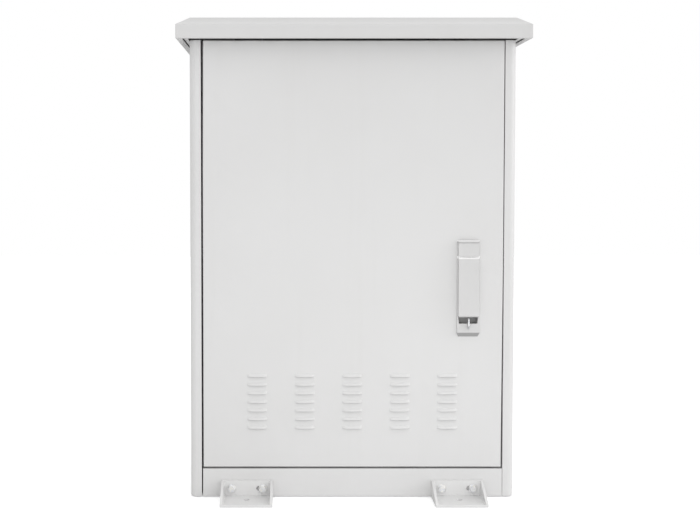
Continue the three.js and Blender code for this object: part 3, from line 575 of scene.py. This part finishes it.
def hood_out(u, t):
    """How far a hood stands out: u along it from -1 to 1, t down it from 0 at its root to 1 at its lip."""
    run = LOUVRE_END / (LOUVRE_W / 2)
    end = max(0.0, (abs(u) - (1 - run)) / run)
    along = max(0.0, math.cos(min(1.0, end) * math.pi / 2)) ** 0.75
    return LOUVRE_OUT * along * (1 - max(0.0, 1 - t) ** 1.7)


def rim_profile():
    """Each ring of the leaf's rim: how far it lies out from the face's outline and back from the face.

    First come the bend's rings, then where the hinge notches start, the flange's end and the return lip.
    """
    turns = [math.pi / 2 * k / BEND_STEPS for k in range(BEND_STEPS + 1)]
    rings = [(DOOR_BEND * math.sin(a), DOOR_BEND * (1 - math.cos(a))) for a in turns]
    return rings + [(DOOR_BEND, NOTCH_DEPTH), (DOOR_BEND, DOOR_DEPTH), (DOOR_BEND - DOOR_LIP, DOOR_DEPTH)]


def lean(place, low, high):
    """How far along X a place on the sheet is moved, from the low and high corners of its solid."""
    if place.x < low.x + EDGE_STRIP:
        from_z, to_z, start, end = LEFT_LEAN
    elif place.x > high.x - EDGE_STRIP:
        from_z, to_z, start, end = RIGHT_LEAN
    else:
        return 0.0
    return start + (end - start) * min(1.0, max(0.0, (place.z - from_z) / (to_z - from_z)))


class DoorSheet:
    """The outer surface of the leaf: a grid with louvre hoods, and a rim of rings round it."""

    def __init__(self):
        self.xs, self.zs, self.hoods = door_lines()
        self.rings = rim_profile()
        self.index = {}
        self.vertices = []
        self.faces = []

    def vertex(self, key, x, y, z):
        if key not in self.index:
            self.index[key] = len(self.vertices)
            self.vertices.append(Vector((x, y, z)))
        return self.index[key]

    def hood_at(self, x, z):
        for hood_x, hood_z in self.hoods:
            if abs(x - hood_x) < LOUVRE_W / 2 and abs(z - hood_z) < LOUVRE_H / 2:
                return hood_x, hood_z
        return None

    def corner(self, i, j, hood):
        """The vertex where two grid lines cross. A hood's lip has its own, apart from the face's."""
        x, z = self.xs[i], self.zs[j]
        out = 0.0
        if hood:
            out = hood_out((x - hood[0]) / (LOUVRE_W / 2), (hood[1] + LOUVRE_H / 2 - z) / LOUVRE_H)
        lip = out > 1e-6 and abs(z - (hood[1] - LOUVRE_H / 2)) < 1e-6
        return self.vertex((i, j, "lip") if lip else (i, j), x, FRONT - out, z)

    def add_face(self):
        left, right, bottom, top = pocket_hole()
        for i in range(len(self.xs) - 1):
            for j in range(len(self.zs) - 1):
                x, z = (self.xs[i] + self.xs[i + 1]) / 2, (self.zs[j] + self.zs[j + 1]) / 2
                if left < x < right and bottom < z < top:
                    continue
                hood = self.hood_at(x, z)
                around = ((i, j), (i + 1, j), (i + 1, j + 1), (i, j + 1))
                self.faces.append(tuple(self.corner(a, b, hood) for a, b in around))

    def rim_vertex(self, i, j, r):
        if r == 0:
            return self.index[(i, j)]
        out, back = self.rings[r]
        side_x = (i == len(self.xs) - 1) - (i == 0)
        side_z = (j == len(self.zs) - 1) - (j == 0)
        return self.vertex((i, j, r), self.xs[i] + out * side_x, FRONT + back, self.zs[j] + out * side_z)

    def outline(self):
        """The grid crossings round the face's outline, in order."""
        last_i, last_j = len(self.xs) - 1, len(self.zs) - 1
        low = [(i, 0) for i in range(last_i)] + [(last_i, j) for j in range(last_j)]
        return low + [(i, last_j) for i in range(last_i, 0, -1)] + [(0, j) for j in range(last_j, 0, -1)]

    def add_rim(self):
        loop = self.outline()
        notches = hinge_notches()
        for (i, j), (next_i, next_j) in zip(loop, loop[1:] + loop[:1]):
            middle = (self.zs[j] + self.zs[next_j]) / 2
            notched = i == next_i == 0 and any(low < middle < high for low, high in notches)
            for r in range(len(self.rings) - 1):
                if not (notched and self.rings[r][1] >= NOTCH_DEPTH):
                    around = ((i, j, r), (i, j, r + 1), (next_i, next_j, r + 1), (next_i, next_j, r))
                    self.faces.append(tuple(self.rim_vertex(*place) for place in around))


def door_skin():
    """The door's leaf, one pressed and bent sheet."""
    sheet = DoorSheet()
    sheet.add_face()
    sheet.add_rim()
    low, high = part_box("door_panel")
    for place in sheet.vertices:
        place.x += lean(place, low, high)
    mesh = mesh_from("door_skin", sheet.vertices, sheet.faces)
    turn_faces(mesh, FORWARD)
    piece = make_piece("door_skin", mesh, "door", MATERIALS["powder_coat"], ["door_panel"])
    thicken(piece, DOOR_SHEET)
    even_normals(piece, 90)


# ---- the lever and the plinth -----------------------------------------------------------------
def reshaped(node, name, body, shift, width):
    """A copy of a node's solid that stands for it, with each corner moved by shift(place)."""
    source = frame["nodes"][node]
    build = bmesh.new()
    build.from_mesh(source.data)
    bmesh.ops.transform(build, matrix=source.matrix_world, verts=build.verts)
    bmesh.ops.remove_doubles(build, verts=build.verts, dist=5e-6)
    bmesh.ops.dissolve_limit(build, angle_limit=math.radians(0.8), verts=build.verts, edges=build.edges)
    for vertex in build.verts:
        vertex.co += shift(vertex.co)
    mesh = bpy.data.meshes.new(name)
    build.to_mesh(mesh)
    build.free()
    slot = SLOT_OF[node]
    crisp(make_piece(name, mesh, body, MATERIALS[slot], [node]), width, 32)


def lever_shell():
    """The lever's casting, a little proud of the head so that its top chamfer catches the light."""
    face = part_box("handle_lever")[0].y

    def shift(place):
        return FORWARD * (LEVER_PROUD if place.y < face + LEVER_FACE else 0)

    reshaped("handle_lever", "lever_shell", "lever", shift, width=0.5 * MM)


def plinth_tray():
    """The plinth panel's tray: it sits against the right post and leaves a gap by the left one."""
    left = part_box("plinth_panel")[0].x

    def shift(place):
        return Vector((PLINTH_GAP if place.x < left + PLINTH_END else 0, 0, 0))

    reshaped("plinth_panel", "plinth_tray", "cabinet", shift, width=0.6 * MM)


# ---- bolts ------------------------------------------------------------------------------------
def hexagon_head(radius, low, high, centre, facing):
    """A hexagon head with a chamfered outer face, standing out along facing (-1 or 1) in Y."""
    count = 24
    chamfer = 0.87 * 0.97
    rings = ((low, hexagon_share), (low + (high - low) * 0.80, hexagon_share), (high, lambda a: chamfer))
    vertices = []
    for out, share in rings:
        for k in range(count):
            a = 2 * math.pi * k / count
            reach = radius * share(a)
            vertices.append(centre + Vector((reach * math.cos(a), facing * out, reach * math.sin(a))))
    faces = []
    for r in range(len(rings) - 1):
        for k in range(count):
            m = (k + 1) % count
            faces.append((r * count + k, r * count + m, (r + 1) * count + m, (r + 1) * count + k))
    return vertices, faces + tube_ends(len(rings), count)


def ring_disc(inner, outer, low, high, centre, facing, round_edge=0.25 * MM):
    section = [(inner, low), (outer - round_edge, low), (outer, low + round_edge),
               (outer, high - round_edge), (outer - round_edge, high), (inner, high)]
    return revolve([(radius, facing * height) for radius, height in section], centre, "Y", 40)


def shank(radius, low, high, centre, facing):
    """A threaded stem: a stack of fine ridges, closed at both ends."""
    root = radius * 0.86
    turns = max(2, round((high - low) / SHANK_PITCH))
    pitch = (high - low) / turns
    section = [(0.0, low)]
    for k in range(turns):
        section += [(root, low + pitch * k), (radius, low + pitch * (k + 0.5))]
    section += [(root, high), (0.0, high)]
    return revolve([(reach, facing * height) for reach, height in section], centre, "Y", 20)


def bracket_frame(node):
    """A bracket's or its bolt's box, which way its front faces in Y, and the Y of the cabinet's wall."""
    low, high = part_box(node)
    facing = -1 if low.y < 0 else 1
    return low, high, facing, high.y if facing < 0 else low.y


def bracket_bolts():
    """Each bolt: a shank through the bracket, a flat washer, a spring washer and a hexagon head."""
    washer = BRACKET_PLATE + WASHER_THICKNESS
    spring = washer + SPRING_THICKNESS
    for node in [n for n in frame["nodes"] if n.startswith("bracket_bolt")]:
        low, high, facing, wall = bracket_frame(node)
        centre = Vector(((low.x + high.x) / 2, wall, (low.z + high.z) / 2))
        parts = [ring_disc(WASHER_BORE, WASHER_RADIUS, BRACKET_PLATE + CLOSE_GAP, washer, centre, facing),
                 ring_disc(SPRING_BORE, SPRING_RADIUS, washer + SEAT_GAP, spring, centre, facing,
                           SPRING_EDGE),
                 hexagon_head(HEAD_RADIUS, spring + SEAT_GAP, spring + HEAD_HEIGHT, centre, facing),
                 shank(SHANK_RADIUS, SHANK_START, BRACKET_PLATE, centre, facing)]
        mesh = mesh_from(node + "_detail", *gather(*parts))
        piece = make_piece(node + "_detail", mesh, "cabinet", BOLT_ZINC, [node])
        crisp(piece, 0.25 * MM, segments=1)


# ---- the door's seal and filter ---------------------------------------------------------------
def rounded_path(low_x, high_x, low_z, high_z, radius, steps=6):
    """Points of a rounded rectangle, each with its outward direction."""
    path = []
    corners = ((high_x - radius, low_z + radius, -90), (high_x - radius, high_z - radius, 0),
               (low_x + radius, high_z - radius, 90), (low_x + radius, low_z + radius, 180))
    for x, z, start in corners:
        for k in range(steps + 1):
            a = math.radians(start + 90 * k / steps)
            out = Vector((math.cos(a), 0, math.sin(a)))
            path.append((Vector((x, 0, z)) + out * radius, out))
    return path


def door_seal():
    """A bulb of foam rubber on a flat foot, run round inside the door."""
    low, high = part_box("door_gasket")
    rise = high.y - low.y - BULB_START
    section = [(-SEAL_HALF, 0.0), (SEAL_HALF, 0.0), (SEAL_HALF, SEAL_FOOT)]
    for k in range(BULB_STEPS):
        a = math.pi * (k + 0.6) / (BULB_STEPS + 0.2)
        section.append((math.cos(a) * BULB_HALF, BULB_START + math.sin(a) * rise))
    section.append((-SEAL_HALF, SEAL_FOOT))
    path = rounded_path(low.x + SEAL_HALF, high.x - SEAL_HALF, low.z + SEAL_HALF, high.z - SEAL_HALF,
                        SEAL_CORNER)
    vertices = []
    for place, out in path:
        vertices += [place + out * u + Vector((0, low.y + v, 0)) for u, v in section]
    mesh = mesh_from("seal_bulb", vertices, tube_faces(len(path), len(section), closed=True))
    piece = make_piece("seal_bulb", mesh, "door", MATERIALS["gasket_rubber"], ["door_gasket"])
    even_normals(piece, 60)


def fleece_back(x, z, low, high):
    """The Y of the filter mat's back surface: lumpy pleats that are pressed flat near the mat's edge."""
    edge = min(x - low.x, high.x - x, z - low.z, high.z - z)
    pinch = max(0.0, 1 - edge / PINCH_WIDTH) ** 1.6
    lump = noise.noise(Vector((x * 55, 0, z * 55))) + 0.5 * noise.noise(Vector((x * 210, 3, z * 210)))
    pleat = FOLD * abs((x / PLEAT) % 2 - 1)
    return high.y - FLEECE_BACK - pinch * PINCH_DEPTH - (1 - pinch) * (LUMP * (1 + lump) + pleat)


def filter_fleece():
    """The filter mat: a sheet of fibre folded into shallow pleats, pinched flat under its frame."""
    low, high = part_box("air_filter")
    vertices = []
    for j in range(FLEECE_ROWS + 1):
        for i in range(FLEECE_COLUMNS + 1):
            x = low.x + (high.x - low.x) * i / FLEECE_COLUMNS
            z = low.z + (high.z - low.z) * j / FLEECE_ROWS
            vertices.append(Vector((x, fleece_back(x, z, low, high), z)))
    row = FLEECE_COLUMNS + 1
    faces = [(k, k + row, k + row + 1, k + 1) for j in range(FLEECE_ROWS)
             for k in range(j * row, j * row + FLEECE_COLUMNS)]
    mesh = mesh_from("filter_fleece", vertices, faces)
    turn_faces(mesh, -FORWARD)
    piece = make_piece("filter_fleece", mesh, "door", MATERIALS["filter_mat"], ["air_filter"])
    thicken(piece, FLEECE_THICKNESS)


# ---- cable glands -----------------------------------------------------------------------------
def section_at(base, *pairs):
    """Radii and heights in millimetres as a section in metres, its heights counted from a base."""
    return [(radius * MM, base + height * MM) for radius, height in pairs]


def gland_thread(low, end, top):
    """The threaded stem's section: ridges from low to end, under a plain neck up to top."""
    turns = round((end - low) / GLAND_PITCH)
    pitch = (end - low) / turns
    section = section_at(low, (10.2, 0), (15.0, 0))
    for k in range(turns):
        section += [(15.1 * MM, low + pitch * (k + 0.1)), (16.0 * MM, low + pitch * (k + 0.5)),
                    (15.1 * MM, low + pitch * (k + 0.9))]
    return section + section_at(top, (15.0, 0), (10.2, 0))


def ribbed(angle, radius):
    """A form for revolve: grip ribs round the widest part of a dome nut."""
    return radius + (RIB_OUT if radius > RIB_RADIUS and int(angle / math.pi * 24) % 2 else 0.0)


def cable_glands():
    """Each gland: a hexagon body, a ribbed dome nut and its seal above; a thread and lock nut below."""
    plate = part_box("gland_plate")
    seat = plate[1].z + GLAND_GAP
    start = seat + GLAND_BODY
    nut_top = plate[0].z - GLAND_GAP
    for side in ("left", "right"):
        node = f"cable_gland_{side}"
        low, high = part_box(node)
        centre = Vector(((low.x + high.x) / 2, (low.y + high.y) / 2, 0))
        body = section_at(seat, (10.2, 0), (19.5, 0), (20.9, 1.2), (20.9, 6.6), (19.6, 7.8), (10.2, 7.8))
        dome = section_at(start, (12.2, 0), (15.6, 0), (15.9, 1))
        dome += section_at(high.z, (15.4, -4), (14.2, -1.4), (12.6, 0), (12.2, 0))
        thread = gland_thread(low.z, plate[0].z - 0.2 * MM, seat + 1 * MM)
        nut = section_at(nut_top, (16.1, -5.5), (19.0, -5.5), (20.0, -4.6), (20.0, 0), (16.1, 0))
        parts = (revolve(body, centre, sides=48, form=hexagonal(12 * MM)),
                 revolve(dome, centre, sides=96, form=ribbed), revolve(thread, centre, sides=48),
                 revolve(nut, centre, sides=48, form=hexagonal(17 * MM)))
        mesh = mesh_from(f"gland_{side}", *gather(*parts))
        crisp(make_piece(f"gland_{side}", mesh, "cabinet", MATERIALS["black_plastic"], [node]), 0.3 * MM)
        seal = section_at(start, (10.2, 0), (12.1, 0))
        seal += section_at(high.z, (12.1, -1.5), (11.2, -0.6), (10.2, -1.6))
        ring = mesh_from(f"gland_seal_{side}", *revolve(seal, centre, sides=48))
        make_piece(f"gland_seal_{side}", ring, "cabinet", MATERIALS["gasket_rubber"])


# ---- screws -----------------------------------------------------------------------------------
def screw(centre, facing, radius, height):
    """A pan-head screw that stands on a face square to Y, with a hexagon socket."""
    socket = radius * 0.46
    floor = height * 0.35
    section = [(0.0, 0.0), (radius, 0.0), (radius, height * 0.35), (radius * 0.9, height * 0.75),
               (radius * 0.66, height), (socket, height), (socket, floor), (0.0, floor)]

    def form(angle, reach):
        return reach * hexagon_share(angle) if abs(reach - socket) < 1e-7 else reach

    return revolve([(r, facing * h) for r, h in section], centre, "Y", 24, form)


def add_screws(name, heads):
    mesh = mesh_from(name, *gather(*heads))
    crisp(make_piece(name, mesh, "cabinet", BOLT_ZINC), 0.2 * MM, 40)


def rear_panel_screws():
    """Five screws down each side of the rear panel's rim, and one at the middle of its top and bottom."""
    low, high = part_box("rear_panel")
    heights = [low.z + (high.z - low.z) * (0.03 + 0.94 * k / 4) for k in range(5)]
    places = [(x, z) for x in (low.x + RIM_INSET, high.x - RIM_INSET) for z in heights]
    places += [(0.0, low.z + RIM_INSET), (0.0, high.z - RIM_INSET)]
    add_screws("rear_panel_screws", [screw(Vector((x, high.y + CLOSE_GAP, z)), 1, *RIM_SCREW)
                                     for x, z in places])


def earth_bar_screws():
    """Four terminal screws on the earth bar, and one in each of its feet."""
    low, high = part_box("earth_bar")
    middle = (low.z + high.z) / 2
    foot = high.y - EARTH_BAR - CLOSE_GAP
    heads = [screw(Vector((x, low.y - CLOSE_GAP, middle)), -1, *TERMINAL_SCREW) for x in TERMINALS]
    heads += [screw(Vector((x, foot, middle)), -1, *FOOT_SCREW)
              for x in (low.x + EARTH_FOOT, high.x - EARTH_FOOT)]
    add_screws("earth_bar_screws", heads)


# ---- the brackets' welds ----------------------------------------------------------------------
def weld_bead(start, end, up, out, seed):
    """A rippled quarter-round bead in the corner between two faces that point up and out."""
    steps = max(8, round((end - start).length / WELD_STEP))
    along = (end - start) / steps
    arc = [math.pi / 2 * k / 5 for k in range(6)]
    vertices = []
    for i in range(steps + 1):
        ripple = 0.86 + 0.14 * abs(math.sin(i * 1.3)) + 0.10 * noise.noise(Vector((i * 0.45, seed, 0)))
        swell = WELD_SIZE * ripple * min(1.0, 0.45 + min(i, steps - i) * 0.25)
        base = start + along * i
        vertices += [base + up * swell * math.sin(a) + out * swell * math.cos(a) for a in arc]
        vertices.append(base)
    count = len(arc) + 1
    return vertices, tube_faces(steps + 1, count) + tube_ends(steps + 1, count)


def bracket_welds():
    """Beads where each bracket's cheeks meet its foot and its leg, painted over with the bracket."""
    for node in [n for n in frame["nodes"] if n.startswith("floor_bracket")]:
        low, high, facing, wall = bracket_frame(node)
        outer = low.y if facing < 0 else high.y
        leg = wall + facing * BRACKET_PLATE
        beads = []
        for x, inward in ((low.x + BRACKET_PLATE, 1), (high.x - BRACKET_PLATE, -1)):
            inside = Vector((inward, 0, 0))
            front = Vector((x, outer - facing * WELD_FRONT, BRACKET_PLATE))
            back = Vector((x, leg, BRACKET_PLATE))
            top = Vector((x, leg, high.z - WELD_TOP))
            beads.append(weld_bead(front, back, Vector((0, 0, 1)), inside, len(beads)))
            beads.append(weld_bead(back, top, Vector((0, facing, 0)), inside, len(beads) + 7))
        mesh = mesh_from(node + "_welds", *gather(*beads))
        make_piece(node + "_welds", mesh, "cabinet", MATERIALS["bracket_coat"])


# ---- the roof's eave --------------------------------------------------------------------------
def half_round(start, end, sides=8, steps=30):
    """A flattened half-round bead below a line, thinned out at both ends."""
    vertices = []
    for i in range(steps + 1):
        thick = BEAD_RADIUS * min(1.0, 0.2 + 0.4 * min(i, steps - i))
        base = start.lerp(end, i / steps)
        for k in range(sides + 1):
            a = math.pi * k / sides
            vertices.append(base + Vector((thick * math.cos(a), 0, -BEAD_DROP * thick * math.sin(a))))
    return vertices, tube_faces(steps + 1, sides + 1) + tube_ends(steps + 1, sides + 1)


def eave_beads():
    """Stiffening beads pressed into the roof's return lip, under its two side overhangs."""
    low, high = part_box("roof_canopy")
    beads = []
    for side in (-1, 1):
        for offset in BEAD_OFFSETS:
            x = side * (high.x - offset)
            front, back = low.y + BEAD_END, high.y - BEAD_END
            beads.append(half_round(Vector((x, front, low.z)), Vector((x, back, low.z))))
    mesh = mesh_from("eave_beads", *gather(*beads))
    make_piece("eave_beads", mesh, "cabinet", MATERIALS["roof_coat"])


# ---- light, floor and camera ------------------------------------------------------------------
def world_light():
    """White to the camera; for the light itself, brighter overhead and to the right, and dimmer below."""
    world = bpy.data.worlds.new("studio")
    bpy.context.scene.world = world
    world.use_nodes = True
    g = Graph(world.node_tree)
    g.tree.nodes.clear()
    way = g.split(g.add("ShaderNodeTexCoord").outputs["Generated"])
    upward = g.spread(way["Z"], -0.35, 0.25, WORLD_LOW, WORLD_HIGH)
    overhead = g.spread(way["Z"], 0.30, 0.90, 1.0, WORLD_ZENITH)
    sideways = g.spread(way["X"], -0.9, 0.9, WORLD_LEFT, WORLD_RIGHT)
    strength = g.wire("ShaderNodeMath", upward, overhead, operation="MULTIPLY")
    strength = g.wire("ShaderNodeMath", strength, sideways, operation="MULTIPLY")
    lighting = g.add("ShaderNodeBackground", Strength=strength)
    seen = g.add("ShaderNodeBackground", Strength=1.0, Color=(1, 1, 1, 1))
    for_camera = g.add("ShaderNodeLightPath").outputs["Is Camera Ray"]
    mix = g.wire("ShaderNodeMixShader", for_camera, lighting.outputs[0], seen.outputs[0])
    g.add("ShaderNodeOutputWorld", Surface=mix)


def studio_floor():
    """A pale floor, a little brighter to the camera so that it meets the white behind it."""
    sides = ((-1, -1), (1, -1), (1, 1), (-1, 1))
    corners = [(x * FLOOR_HALF, y * FLOOR_HALF, -FLOOR_DROP) for x, y in sides]
    mesh = bpy.data.meshes.new("studio_floor")
    mesh.from_pydata(corners, [], [(0, 1, 2, 3)])
    floor = bpy.data.objects.new("studio_floor", mesh)
    bpy.context.scene.collection.objects.link(floor)
    material = bpy.data.materials.new("studio_floor")
    material.use_nodes = True
    g = Graph(material.node_tree)
    g.tree.nodes.clear()
    dim = g.add("ShaderNodeBsdfDiffuse", Color=(0.78, 0.78, 0.78, 1)).outputs[0]
    pale = g.add("ShaderNodeBsdfDiffuse", Color=(0.86, 0.86, 0.86, 1)).outputs[0]
    lift = g.add("ShaderNodeEmission", Strength=0.35).outputs[0]
    for_camera = g.add("ShaderNodeLightPath").outputs["Is Camera Ray"]
    mix = g.wire("ShaderNodeMixShader", for_camera, dim, g.wire("ShaderNodeAddShader", pale, lift))
    g.add("ShaderNodeOutputMaterial", Surface=mix)
    mesh.materials.append(material)


def soft_light(name, place, aim, size, power):
    data = bpy.data.lights.new(name, "AREA")
    data.shape = "DISK"
    data.size = size
    data.energy = power
    light = bpy.data.objects.new(name, data)
    bpy.context.scene.collection.objects.link(light)
    light.location = place
    light.rotation_euler = (aim - place).to_track_quat("-Z", "Y").to_euler()
    light.visible_camera = False


def camera():
    data = bpy.data.cameras.new("camera")
    data.sensor_width = CAMERA_SENSOR
    data.lens = CAMERA_LENS
    data.shift_x, data.shift_y = CAMERA_SHIFT
    data.clip_start, data.clip_end = CAMERA_REACH
    eye = bpy.data.objects.new("camera", data)
    bpy.context.scene.collection.objects.link(eye)
    eye.location = CAMERA_PLACE
    eye.rotation_euler = (math.pi / 2 - CAMERA_PITCH, 0, 0)
    bpy.context.scene.camera = eye


bpy.context.scene.view_settings.view_transform = "Standard"
camera()
world_light()
studio_floor()
for settings in SOFT_LIGHTS:
    soft_light(*settings)
finish_cad()
door_skin()
lever_shell()
plinth_tray()
door_seal()
filter_fleece()
cable_glands()
rear_panel_screws()
earth_bar_screws()
bracket_bolts()
bracket_welds()
eave_beads()
